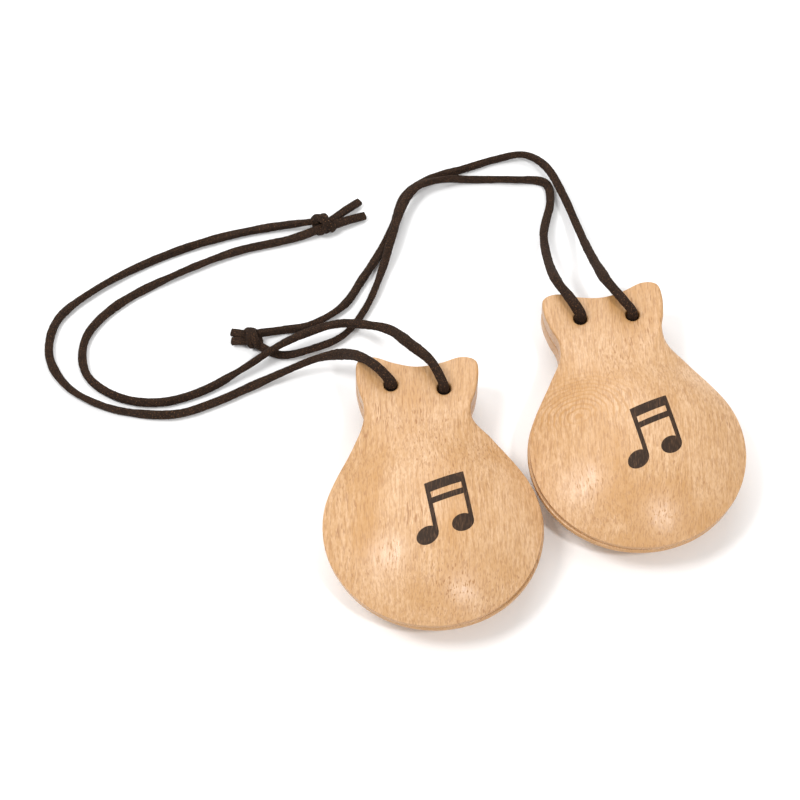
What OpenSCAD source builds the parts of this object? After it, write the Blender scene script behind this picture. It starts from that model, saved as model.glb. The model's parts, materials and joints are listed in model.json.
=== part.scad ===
// A pair of castanets. Each castanet is two hollow wooden shells, tied face to face by
// one suede lace that runs through both pairs of ears and ends in an overhand knot.
// Millimetres, +Z up. The origin is on the table, under the middle of the four shells.
// In a castanet's own frame the body's centre is at x = 0, y = 0, the ears point along +Y
// and the plane between the two shells is z = 0.

/* [Shell] */
// Radius of the round body
body_r = 32.2; // [30:0.2:36]
// Distance from the body's centre to the neck
neck_y = 36.4; // [35:0.2:38]
// Half of the neck's width
neck_half_w = 15.3; // [14:0.1:17]
// Half of the ears' width
ear_half_w = 18.5; // [17:0.1:21]
// Distance from the body's centre to the tips of the ears
ear_tip_y = 55.8; // [54:0.2:58]
// Thickness of one shell at the belly
belly_t = 12.4; // [11:0.1:14]
// Thickness of one shell at the ears
ear_t = 5.8; // [5:0.1:7]
// Height of the upright rim round the body
rim_t = 1.6; // [1:0.1:2.4]
// Gap between two closed shells
seam = 0.2; // [0.1:0.05:0.4]
// Slope of each shell's inner face behind the lace holes, which lets the pair open
relief_angle = 9.5; // [6:0.5:12]

/* [Sound chamber] */
// Radius of the chamber's mouth
chamber_r = 22; // [18:0.5:24]
// Depth of the chamber in one shell
chamber_depth = 8; // [6:0.5:8.5]

/* [Lace] */
// Diameter of the lace
lace_d = 2.8; // [2.4:0.1:3.2]
// Diameter of a lace hole
hole_d = 4.2; // [4:0.1:5]
// Distance from the midline to a lace hole
hole_x = 8; // [7:0.1:9]
// Distance from the body's centre to the lace holes
hole_y = 45.2; // [43:0.1:46]
// Turn of the line through the two lace holes against the ears
hole_tilt = -4.5; // [-6:0.5:6]

/* [Layout] */
// Turn of the left castanet
left_yaw = 7.5; // [0:0.5:15]
// Turn of the right castanet
right_yaw = 9.5; // [0:0.5:15]
// Turn of the left castanet's ears against its body
left_skew = -6.5; // [-8:0.5:8]
// Turn of the right castanet's ears against its body
right_skew = -1; // [-6:0.5:6]
// Turn of each upper shell against its lower shell
shell_slip = 0.8; // [0:0.1:1.2]

/* [Hidden] */

WOOD = [0.86, 0.68, 0.46];
SUEDE = [0.22, 0.15, 0.11];
CASTANET_FN = 64;
CUT = 60;                        // longer than any part of a shell
split_z = belly_t + seam / 2;    // height of the plane between the shells
left_pos = [-30.1, -25.1];       // body centres on the table
right_pos = [30.1, -0.1];

// ---- outline of a shell ----

OUTLINE_STEPS = 2;      // points on the curve for each span between two knots
ARC_STEP = 15;          // degrees between knots on the round body
EAR_CENTRE_Y = 46;      // the ears' top face is a fan about this point
DOME_ANGLES = [0, 8, 17, 27, 38, 50, 63, 76];  // rings from the rim up to the ridge

neck_angle = atan2(neck_y, neck_half_w) - acos(body_r / norm([neck_half_w, neck_y]));
shoulder = body_r * [cos(neck_angle), sin(neck_angle)];
ear_knots = [[0, ear_tip_y - 3.4], [7, ear_tip_y - 2.2], [13.4, ear_tip_y],
             [17.8, ear_tip_y - 1.2], [ear_half_w, ear_tip_y - 6],
             [ear_half_w - 1, ear_tip_y - 12], [neck_half_w + 0.8, neck_y + 2.6]];
shoulder_knots = [[neck_half_w + 1.4, neck_y - 2.8], ([neck_half_w, neck_y] + shoulder) / 2];
arc_knots = [for (a = [neck_angle : -ARC_STEP : -88]) body_r * [cos(a), sin(a)]];
half_knots = concat(ear_knots, shoulder_knots, arc_knots, [[0, -body_r]]);
half_count = len(half_knots) - 1;
knots = concat(half_knots, [for (i = [half_count - 1 : -1 : 1])
                            [-half_knots[i].x, half_knots[i].y]]);

// Point on the closed Catmull-Rom curve through p, a fraction u along span i
function curve_point(p, i, u) =
    let (n = len(p), a = p[(i + n - 1) % n], b = p[i], c = p[(i + 1) % n], d = p[(i + 2) % n])
    0.5 * (2 * b + (c - a) * u + (2 * a - 5 * b + 4 * c - d) * pow(u, 2)
           + (3 * b - a - 3 * c + d) * pow(u, 3));

outline = [for (i = [0 : len(knots) - 1], k = [0 : OUTLINE_STEPS - 1])
           curve_point(knots, i, k / OUTLINE_STEPS)];
count = len(outline);
half = count / 2;

// Each outline point leads up to its own point on the ridge along the midline
ridge_first = min([for (i = [0 : half]) if (outline[i].y < EAR_CENTRE_Y) i]);
ridge_last = max([for (i = [0 : half]) if (outline[i].y > 0) i]);
function ridge_index(i) = max(ridge_first, min(ridge_last, min(i, count - i)));

// Smooth step from 0 at a to 1 at b
function ease(x, a, b) = let (t = max(0, min(1, (x - a) / (b - a)))) t * t * (3 - 2 * t);

// Point p turned about the origin
function turned(p, angle) =
    [p.x * cos(angle) - p.y * sin(angle), p.x * sin(angle) + p.y * cos(angle)];

// Point p after the ears are turned about the neck, which eases in below the neck
function skewed(p, skew) =
    let (neck = [0, neck_y])
    neck + turned(p - neck, skew * ease(p.y, neck_y - 10, neck_y + 4));

// ---- height of a shell above its rim face ----

EAR_EDGE = 0.9;         // rounding of the ears' top edge
EAR_ROUND = 0.06;       // part of the way to the ridge that the rounding takes at the ears
RIDGE_FLAT_Y = 8;       // the ridge is level from the body's centre to here, under the balance point
function eariness(y) = ease(y, 24, 40);
function rim_height(y) = rim_t + (ear_t - EAR_EDGE - rim_t) * eariness(y);
function ridge_height(y) = belly_t + (ear_t - belly_t) * ease(y, RIDGE_FLAT_Y, 40);
function dome_height(p, ridge_y, angle) =
    let (reach = 1 - (1 - EAR_ROUND) * eariness(p.y),
         s = min(1, (1 - cos(angle)) / reach))
    rim_height(p.y) + (ridge_height(ridge_y) - rim_height(p.y))
        * pow(1 - pow(1 - s, 2), 1 - eariness(p.y) / 2);

// Solid shell with no chamber, rim face down on z = 0
module shell_blank(skew) {
    rings = len(DOME_ANGLES);
    ridge_count = ridge_last - ridge_first + 1;
    ridge = [for (k = [ridge_first : ridge_last]) [0, outline[k].y]];
    level_points = concat(
        [for (p = outline) [p.x, p.y, 0]],
        [for (a = DOME_ANGLES, i = [0 : count - 1])
            let (p = outline[i], r = ridge[ridge_index(i) - ridge_first], q = r + (p - r) * cos(a))
            [q.x, q.y, dome_height(p, r.y, a)]],
        [for (r = ridge) [r.x, r.y, 0]],
        [for (r = ridge) [r.x, r.y, ridge_height(r.y)]]);
    points = [for (p = level_points) let (q = skewed(p, skew)) [q.x, q.y, p.z]];
    base = (rings + 1) * count;
    function ring_point(k, i) = k * count + i % count;
    function floor_ridge(i) = base + ridge_index(i) - ridge_first;
    function top_ridge(i) = floor_ridge(i) + ridge_count;
    walls = [for (k = [0 : rings - 1], i = [0 : count - 1])
        each [[ring_point(k, i), ring_point(k, i + 1), ring_point(k + 1, i)],
              [ring_point(k, i + 1), ring_point(k + 1, i + 1), ring_point(k + 1, i)]]];
    floor_faces = [for (i = [0 : count - 1])
        each [[ring_point(0, i), floor_ridge(i), ring_point(0, i + 1)],
              if (floor_ridge(i) != floor_ridge(i + 1))
                  [ring_point(0, i + 1), floor_ridge(i), floor_ridge(i + 1)]]];
    top_faces = [for (i = [0 : count - 1])
        each [[ring_point(rings, i), ring_point(rings, i + 1), top_ridge(i)],
              if (top_ridge(i) != top_ridge(i + 1))
                  [ring_point(rings, i + 1), top_ridge(i + 1), top_ridge(i)]]];
    polyhedron(points, concat(walls, floor_faces, top_faces), convexity = 6);
}

// Puts a child given for straight ears where skewed ears have it
module at_ears(skew)
    translate([0, neck_y, 0]) rotate(skew) translate([0, -neck_y, 0]) children();

// Puts a child given about the middle of the lace holes there, with the holes along X
module at_holes(skew)
    at_ears(skew) translate([0, hole_y, 0]) rotate(hole_tilt) children();

// Middle of the lace hole on the given side of straight ears
function hole_place(side) = [0, hole_y] + turned([side * hole_x, 0], hole_tilt);

// One shell, as the upper one of a pair
module shell(skew) {
    chamber_sphere_r = (pow(chamber_r, 2) + pow(chamber_depth, 2)) / (2 * chamber_depth);
    color(WOOD)
    translate([0, 0, seam / 2])
    difference() {
        shell_blank(skew);
        translate([0, 0, chamber_depth - chamber_sphere_r])
            sphere(r = chamber_sphere_r, $fn = CASTANET_FN);
        at_holes(skew) {
            for (side = [-1, 1])
                translate([side * hole_x, 0, -1])
                    cylinder(d = hole_d, h = ear_t + 2, $fn = CASTANET_FN);
            rotate([relief_angle, 0, 0])
                translate([-CUT / 2, 0, -CUT]) cube([CUT, CUT, CUT]);
        }
    }
}

// Puts a child given in a castanet's own frame where that castanet lies, turned by
// slip degrees about the middle of its lace holes
module place(pos, yaw, skew, slip = 0) {
    middle = skewed([0, hole_y], skew);
    translate([pos.x, pos.y, split_z]) rotate(yaw)
        translate(middle) rotate(slip) translate(-middle)
            children();
}

// ---- lace inside the ears ----

LACE_FN = 32;
LACE_GAP = 0.35;        // from each end of a stretch to the plane between the shells
STUB = 1;               // how far the lace stands out of the upper ears

module lace_in_upper_ears(skew) {
    color(SUEDE) at_holes(skew) for (side = [-1, 1])
        translate([side * hole_x, 0, LACE_GAP])
            cylinder(d = lace_d, h = ear_t + STUB - LACE_GAP, $fn = LACE_FN);
}

// Down one hole, across under the ears and up the other
module lace_in_lower_ears(skew) {
    run_z = -seam / 2 - ear_t - 0.1 - lace_d / 2;
    color(SUEDE) at_holes(skew) union() {
        for (side = [-1, 1]) translate([side * hole_x, 0, run_z]) {
            cylinder(d = lace_d, h = -LACE_GAP - run_z, $fn = LACE_FN);
            sphere(d = lace_d, $fn = LACE_FN);
        }
        translate([-hole_x, 0, run_z]) rotate([0, 90, 0])
            cylinder(d = lace_d, h = 2 * hole_x, $fn = LACE_FN);
    }
}

// ---- free lace ----

LACE_SIDES = 8;
EXIT_Z = 8.6;           // start of a leg above the plane between the shells

// Where a leg starts, above the lace hole on the given side
function leg_start(pos, yaw, skew, side) =
    let (p = pos + turned(skewed(hole_place(side), skew), yaw))
    [p.x, p.y, split_z + EXIT_Z];

// Each route runs from beside its hole, over the edge of the ears and along the table to
// the knot
LEFT_LEG_1 = [[-47, 24, 22.6], [-52, 29, 20.3], [-58, 34, 13.5], [-66, 36, 7.5], [-76, 34, 3],
    [-87, 29, 1.7], [-97, 24, 1.5], [-108, 20, 1.5], [-120, 20, 1.5], [-132, 23, 1.5],
    [-143, 30, 1.5], [-149, 41, 1.5], [-147, 54, 1.5], [-136, 65, 1.5], [-120, 75, 1.5],
    [-102, 83, 1.5], [-84, 88, 1.5], [-66, 91, 2.6]];
LEFT_LEG_2 = [[-31, 26, 23], [-37, 33, 21], [-43, 41, 16], [-50, 46, 11], [-59, 49, 7],
    [-68, 47, 5.6], [-78, 42, 5], [-89, 35, 2.8], [-101, 28, 1.5], [-114, 24, 1.5],
    [-127, 26, 1.5], [-137, 34, 1.5], [-138, 47, 1.5], [-129, 59, 1.5], [-112, 70, 1.5],
    [-93, 79, 1.5], [-75, 84, 1.5], [-65, 87, 2.6]];
LEFT_KNOT = [-64, 89, 2.9];
LEFT_TAILS = [[[-62, 91.2, 2.6], [-53.5, 99, 1.5]], [[-61, 87.8, 2.6], [-51, 92.5, 1.5]]];
RIGHT_LEG_1 = [[12, 48, 22.4], [8, 57, 19], [6, 70, 11], [5.4, 84, 5], [8, 98, 2.2],
    [6.3, 105.8, 1.5], [-4, 107, 1.5], [-16, 107, 1.5], [-26, 106, 3], [-35, 102, 4.5],
    [-40, 93, 4.5], [-43, 82, 4.5], [-46, 71, 2.8], [-51, 58, 1.5], [-58, 48, 1.5],
    [-68, 43, 1.5], [-77, 41, 1.5], [-84, 43, 2.6]];
RIGHT_LEG_2 = [[27, 49, 22.6], [22.5, 59, 18.5], [19, 73, 11], [16, 86, 6], [12, 99, 4.6],
    [7, 110, 4.2], [0, 116, 2.6], [-9, 115, 1.5], [-20, 111, 1.5], [-31, 107, 1.5],
    [-39, 100, 1.5], [-42, 90, 1.5], [-46, 80, 1.5], [-52, 69, 1.5], [-58, 59, 1.5],
    [-68, 52, 1.5], [-77, 50, 1.5], [-84, 49, 2.6]];
RIGHT_KNOT = [-85, 46, 2.9];
RIGHT_TAILS = [[[-87, 48, 2.6], [-92, 50, 1.5]], [[-87, 44, 2.6], [-92, 46, 1.5]]];

// Round tube along a route, one ring at each of its points
module tube(route, d) {
    n = len(route);
    points = [for (i = [0 : n - 1])
        let (t = route[min(i + 1, n - 1)] - route[max(i - 1, 0)],
             side = cross(t, [0, 0, 1]) / norm(cross(t, [0, 0, 1])),
             up = cross(side, t) / norm(t))
        for (k = [0 : LACE_SIDES - 1])
            route[i] + d / 2 * (side * cos(360 * k / LACE_SIDES) + up * sin(360 * k / LACE_SIDES))];
    skin = [for (i = [0 : n - 2], k = [0 : LACE_SIDES - 1])
        let (a = i * LACE_SIDES + k, b = i * LACE_SIDES + (k + 1) % LACE_SIDES)
        each [[a, b, a + LACE_SIDES], [b, b + LACE_SIDES, a + LACE_SIDES]]];
    first_cap = [for (k = [LACE_SIDES - 1 : -1 : 0]) k];
    last_cap = [for (k = [0 : LACE_SIDES - 1]) (n - 1) * LACE_SIDES + k];
    polyhedron(points, concat(skin, [first_cap, last_cap]), convexity = 8);
}

module lace_leg(start, route) color(SUEDE) tube(concat([start], route), lace_d);

module lace_tails(tails) color(SUEDE) for (tail = tails) tube(tail, lace_d);

// Plain solid of the knot's size
module lace_knot(pos) {
    knot_d = 5.6;
    color(SUEDE) translate(pos) sphere(d = knot_d, $fn = LACE_FN);
}

module mirror_down() mirror([0, 0, 1]) children();

place(left_pos, left_yaw, left_skew) mirror_down() shell(left_skew);  // left_lower_shell
place(left_pos, left_yaw, left_skew, -shell_slip) shell(left_skew);  // left_upper_shell
place(left_pos, left_yaw, left_skew) lace_in_lower_ears(left_skew);  // left_lace_in_lower_ears
place(left_pos, left_yaw, left_skew) lace_in_upper_ears(left_skew);  // left_lace_in_upper_ears
lace_leg(leg_start(left_pos, left_yaw, left_skew, -1), LEFT_LEG_1);  // left_lace_leg_1
lace_leg(leg_start(left_pos, left_yaw, left_skew, 1), LEFT_LEG_2);  // left_lace_leg_2
lace_knot(LEFT_KNOT);  // left_lace_knot
lace_tails(LEFT_TAILS);  // left_lace_tails
place(right_pos, right_yaw, right_skew) mirror_down() shell(right_skew);  // right_lower_shell
place(right_pos, right_yaw, right_skew, shell_slip) shell(right_skew);  // right_upper_shell
place(right_pos, right_yaw, right_skew) lace_in_lower_ears(right_skew);  // right_lace_in_lower_ears
place(right_pos, right_yaw, right_skew) lace_in_upper_ears(right_skew);  // right_lace_in_upper_ears
lace_leg(leg_start(right_pos, right_yaw, right_skew, -1), RIGHT_LEG_1);  // right_lace_leg_1
lace_leg(leg_start(right_pos, right_yaw, right_skew, 1), RIGHT_LEG_2);  // right_lace_leg_2
lace_knot(RIGHT_KNOT);  // right_lace_knot
lace_tails(RIGHT_TAILS);  // right_lace_tails
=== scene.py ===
"""A pair of wooden castanets lying on a table, each tied with its own suede lace.

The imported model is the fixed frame. The castanets and laces built here are the finished
pieces that stand for its plain solids, in the same place and at the same size.
"""

from __future__ import annotations

import json
import logging
import math
from dataclasses import dataclass, field
from enum import Enum
from typing import Sequence

import bmesh
import bpy
from mathutils import Matrix, Vector, noise

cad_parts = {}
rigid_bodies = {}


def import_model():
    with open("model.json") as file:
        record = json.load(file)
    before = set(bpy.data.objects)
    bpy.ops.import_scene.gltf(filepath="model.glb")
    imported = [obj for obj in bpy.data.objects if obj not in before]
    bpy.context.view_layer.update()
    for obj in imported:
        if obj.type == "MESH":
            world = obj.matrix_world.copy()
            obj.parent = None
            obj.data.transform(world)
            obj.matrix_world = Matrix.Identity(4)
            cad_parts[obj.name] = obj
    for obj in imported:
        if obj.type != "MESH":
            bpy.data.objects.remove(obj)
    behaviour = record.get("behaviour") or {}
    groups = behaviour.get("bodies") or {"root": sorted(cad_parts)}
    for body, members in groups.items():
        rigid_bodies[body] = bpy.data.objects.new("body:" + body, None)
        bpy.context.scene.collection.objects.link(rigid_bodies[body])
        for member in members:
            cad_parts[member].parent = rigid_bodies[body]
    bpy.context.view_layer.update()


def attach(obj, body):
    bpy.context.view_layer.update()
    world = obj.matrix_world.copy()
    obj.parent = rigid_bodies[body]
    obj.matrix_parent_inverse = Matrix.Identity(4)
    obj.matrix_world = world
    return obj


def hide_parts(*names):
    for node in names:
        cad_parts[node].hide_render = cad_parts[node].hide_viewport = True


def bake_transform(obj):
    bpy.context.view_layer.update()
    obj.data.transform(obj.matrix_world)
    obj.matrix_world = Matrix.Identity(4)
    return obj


LOG = logging.getLogger("castanets")
MM = 0.001
Point = tuple[float, float, float]
Route = tuple[Point, ...]
Colour = tuple[float, float, float]


class Side(Enum):
    """Which castanet of the pair a piece belongs to."""

    LEFT = "left"
    RIGHT = "right"


class Half(Enum):
    """Which shell of a castanet a piece is."""

    LOWER = "lower"
    UPPER = "upper"


# ---------------------------------------------------------------- small helpers


def ease(value: float, low: float, high: float) -> float:
    """Smooth step.

    Args:
        value: Where on the step.
        low: Where the step starts.
        high: Where the step ends.

    Returns:
        0 up to low, 1 from high, and a smooth rise between them.
    """
    t = max(0.0, min(1.0, (value - low) / (high - low)))
    return t * t * (3.0 - 2.0 * t)


def catmull_rom(points: Sequence[Vector], index: int, u: float, closed: bool) -> Vector:
    """Point on the Catmull-Rom curve through some points.

    Args:
        points: The points that the curve passes through.
        index: Which span of the curve, counted from its first point.
        u: How far along the span, from 0 to 1.
        closed: Whether the curve runs round from its last point to its first.

    Returns:
        The point on the curve.
    """
    count = len(points)
    if closed:
        a, b, c, d = (points[(index + k) % count] for k in (-1, 0, 1, 2))
    else:
        b, c = points[index], points[index + 1]
        a = points[index - 1] if index > 0 else 2 * b - c
        d = points[index + 2] if index + 2 < count else 2 * c - b
    return 0.5 * (
        2 * b
        + (c - a) * u
        + (2 * a - 5 * b + 4 * c - d) * u**2
        + (3 * b - a - 3 * c + d) * u**3
    )


def smooth_line(points: Sequence[Vector], spacing: float) -> list[Vector]:
    """Evenly spaced points along the smooth curve through some points.

    Args:
        points: The points that the curve passes through.
        spacing: The wanted distance between neighbours.

    Returns:
        The points along the curve, its two ends included.
    """
    fine = [
        catmull_rom(points, i, k / 24, False) for i in range(len(points) - 1) for k in range(24)
    ]
    fine.append(points[-1].copy())
    reach = [0.0]
    for a, b in zip(fine, fine[1:]):
        reach.append(reach[-1] + (b - a).length)
    steps = max(2, round(reach[-1] / spacing))
    line, at = [], 0
    for k in range(steps + 1):
        want = reach[-1] * k / steps
        while at < len(reach) - 2 and reach[at + 1] < want:
            at += 1
        span = max(1e-9, reach[at + 1] - reach[at])
        line.append(fine[at].lerp(fine[at + 1], min(1.0, (want - reach[at]) / span)))
    return line


def line_length(line: Sequence[Vector]) -> float:
    """Length of a line through its points, in metres."""
    return sum((b - a).length for a, b in zip(line, line[1:]))


def deselect_all() -> None:
    """Leaves Object Mode with nothing selected and nothing active."""
    if bpy.context.object and bpy.context.object.mode != "OBJECT":
        bpy.ops.object.mode_set(mode="OBJECT")
    bpy.ops.object.select_all(action="DESELECT")
    bpy.context.view_layer.objects.active = None


def make_active(piece: bpy.types.Object) -> None:
    """Selects one object alone and makes it active."""
    deselect_all()
    piece.select_set(True)
    bpy.context.view_layer.objects.active = piece


def named(piece: bpy.types.Object, name: str) -> bpy.types.Object:
    """Names an object and its data alike, and returns the object."""
    piece.name = name
    piece.data.name = name
    return piece


def settle(piece: bpy.types.Object) -> None:
    """Puts an object's place into its mesh, so that the object itself sits at the origin."""
    make_active(piece)
    bpy.ops.object.transform_apply(location=True, rotation=True, scale=True)


def apply_modifier(piece: bpy.types.Object, modifier: bpy.types.Modifier) -> None:
    """Applies one modifier of an object."""
    make_active(piece)
    bpy.ops.object.modifier_apply(modifier=modifier.name)


def smooth_shading(piece: bpy.types.Object, angle: float) -> None:
    """Shades an object smooth, with edges sharper than an angle in degrees kept crisp."""
    make_active(piece)
    bpy.ops.object.shade_smooth_by_angle(angle=math.radians(angle))


def cut_away(piece: bpy.types.Object, cutter: bpy.types.Object) -> None:
    """Cuts a solid out of a piece and removes the cutter.

    Args:
        piece: The solid that is cut.
        cutter: The solid whose shape is taken away.
    """
    modifier = piece.modifiers.new("Cut", "BOOLEAN")
    modifier.operation = "DIFFERENCE"
    modifier.solver = "EXACT"
    modifier.object = cutter
    apply_modifier(piece, modifier)
    bpy.data.objects.remove(cutter, do_unlink=True)


def joined(pieces: Sequence[bpy.types.Object], name: str) -> bpy.types.Object:
    """Joins several objects into one and names it."""
    make_active(pieces[0])
    for piece in pieces:
        piece.select_set(True)
    bpy.ops.object.join()
    return named(bpy.context.object, name)


def dress(piece: bpy.types.Object, material: bpy.types.Material) -> None:
    """Gives a piece one material all over."""
    piece.data.materials.clear()
    piece.data.materials.append(material)


def stand_for(piece: bpy.types.Object, node: str, body: str) -> None:
    """Puts a finished piece in the place of a plain one.

    Args:
        piece: The finished piece.
        node: The plain piece that it stands for.
        body: The body that it moves with.
    """
    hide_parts(node)
    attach(piece, body)
    LOG.info("%s: %d faces", piece.name, len(piece.data.polygons))


# ---------------------------------------------------------------- finishes


@dataclass(frozen=True)
class Pattern:
    """One pattern of noise in a finish.

    Fields:
        stretch: The factor on each axis; a small one draws the pattern out along it.
        scale: How many features there are in a metre.
        detail: How many finer layers are added.
        rough: How strong the finer layers are.
    """

    stretch: Point
    scale: float
    detail: float = 2.0
    rough: float = 0.5


class Nodes:
    """Short way to lay out a material's nodes."""

    def __init__(self, name: str) -> None:
        """Starts a material.

        Args:
            name: The material's name.
        """
        self.material = bpy.data.materials.new(name)
        self.material.use_nodes = True
        self.tree = self.material.node_tree
        self.tree.nodes.clear()
        self.shader = self.add("ShaderNodeBsdfPrincipled")
        output = self.add("ShaderNodeOutputMaterial")
        self.link(self.shader.outputs["BSDF"], output.inputs["Surface"])

    def add(self, kind: str, **settings: object) -> bpy.types.Node:
        """Adds a node and sets its properties.

        Args:
            kind: The node's type name.
            settings: Properties of the node, by name.

        Returns:
            The new node.
        """
        node = self.tree.nodes.new(kind)
        for key, value in settings.items():
            setattr(node, key, value)
        return node

    def link(self, start: bpy.types.NodeSocket, end: bpy.types.NodeSocket) -> None:
        """Joins two sockets."""
        self.tree.links.new(start, end)

    def math(self, operation: str, *values: object, clamp: bool = False) -> bpy.types.NodeSocket:
        """Adds a Math node.

        Args:
            operation: The operation's name.
            values: Sockets or numbers, in the order of the node's inputs.
            clamp: Whether the result is kept between 0 and 1.

        Returns:
            The node's output.
        """
        node = self.add("ShaderNodeMath", operation=operation, use_clamp=clamp)
        for socket, value in zip(node.inputs, values):
            if isinstance(value, bpy.types.NodeSocket):
                self.link(value, socket)
            else:
                socket.default_value = value
        return node.outputs[0]

    def scaled(self, vector: bpy.types.NodeSocket, scale: Point) -> bpy.types.NodeSocket:
        """Stretches coordinates.

        Args:
            vector: The coordinates.
            scale: The factor along each axis.

        Returns:
            The stretched coordinates.
        """
        node = self.add("ShaderNodeMapping")
        node.inputs["Scale"].default_value = scale
        self.link(vector, node.inputs["Vector"])
        return node.outputs["Vector"]

    def noise(
        self, vector: bpy.types.NodeSocket, scale: float, detail: float = 2.0, rough: float = 0.5
    ) -> bpy.types.NodeSocket:
        """Adds a Noise Texture.

        Args:
            vector: The coordinates.
            scale: How many features there are in a metre of them.
            detail: How many finer layers are added.
            rough: How strong the finer layers are.

        Returns:
            The noise, around 0.5.
        """
        node = self.add("ShaderNodeTexNoise")
        node.inputs["Scale"].default_value = scale
        node.inputs["Detail"].default_value = detail
        node.inputs["Roughness"].default_value = rough
        self.link(vector, node.inputs["Vector"])
        return node.outputs[0]

    def pattern(self, vector: bpy.types.NodeSocket, pattern: Pattern) -> bpy.types.NodeSocket:
        """Adds a pattern of noise.

        Args:
            vector: The coordinates.
            pattern: The pattern.

        Returns:
            The noise, around 0.5.
        """
        stretched = self.scaled(vector, pattern.stretch)
        return self.noise(stretched, pattern.scale, pattern.detail, pattern.rough)

    def along(self, vector: bpy.types.NodeSocket, axis: str) -> bpy.types.NodeSocket:
        """Takes one part of a vector, by its axis's letter."""
        node = self.add("ShaderNodeSeparateXYZ")
        self.link(vector, node.inputs[0])
        return node.outputs[axis]

    def add_up(self, total: object, *parts: tuple[object, float]) -> bpy.types.NodeSocket:
        """Adds weighted values to a first one, and keeps the sum between 0 and 1.

        Args:
            total: The first value.
            parts: Pairs of a further value and its weight.

        Returns:
            The sum.
        """
        for value, weight in parts:
            total = self.math("MULTIPLY_ADD", value, weight, total, clamp=True)
        return total

    def ramp(
        self,
        value: bpy.types.NodeSocket,
        low: float,
        high: float,
        bottom: float = 0.0,
        top: float = 1.0,
    ) -> bpy.types.NodeSocket:
        """Maps a value smoothly from one range to another.

        Args:
            value: The value.
            low: The value that gives bottom.
            high: The value that gives top.
            bottom: The result at low and below it.
            top: The result at high and above it.

        Returns:
            The mapped value.
        """
        node = self.add("ShaderNodeMapRange", interpolation_type="SMOOTHSTEP")
        numbers = (low, high, bottom, top)
        for key, number in zip(("From Min", "From Max", "To Min", "To Max"), numbers):
            node.inputs[key].default_value = number
        self.link(value, node.inputs["Value"])
        return node.outputs[0]

    def mix(
        self, factor: bpy.types.NodeSocket, first: object, second: object
    ) -> bpy.types.NodeSocket:
        """Mixes two colours.

        Args:
            factor: How much of the second there is.
            first: A colour socket or a linear colour.
            second: A colour socket or a linear colour.

        Returns:
            The mixed colour.
        """
        node = self.add("ShaderNodeMix", data_type="RGBA")
        self.link(factor, node.inputs["Factor"])
        for socket, value in zip((node.inputs[6], node.inputs[7]), (first, second)):
            if isinstance(value, bpy.types.NodeSocket):
                self.link(value, socket)
            else:
                socket.default_value = (*value, 1.0)
        return node.outputs[2]

    def bump(self, height: bpy.types.NodeSocket, strength: float, depth: float) -> None:
        """Gives the shader a bump.

        Args:
            height: The height, from 0 to 1.
            strength: How much of the bump shows.
            depth: What a height of 1 is in metres.
        """
        node = self.add("ShaderNodeBump")
        node.inputs["Strength"].default_value = strength
        node.inputs["Distance"].default_value = depth
        self.link(height, node.inputs["Height"])
        self.link(node.outputs["Normal"], self.shader.inputs["Normal"])


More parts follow.
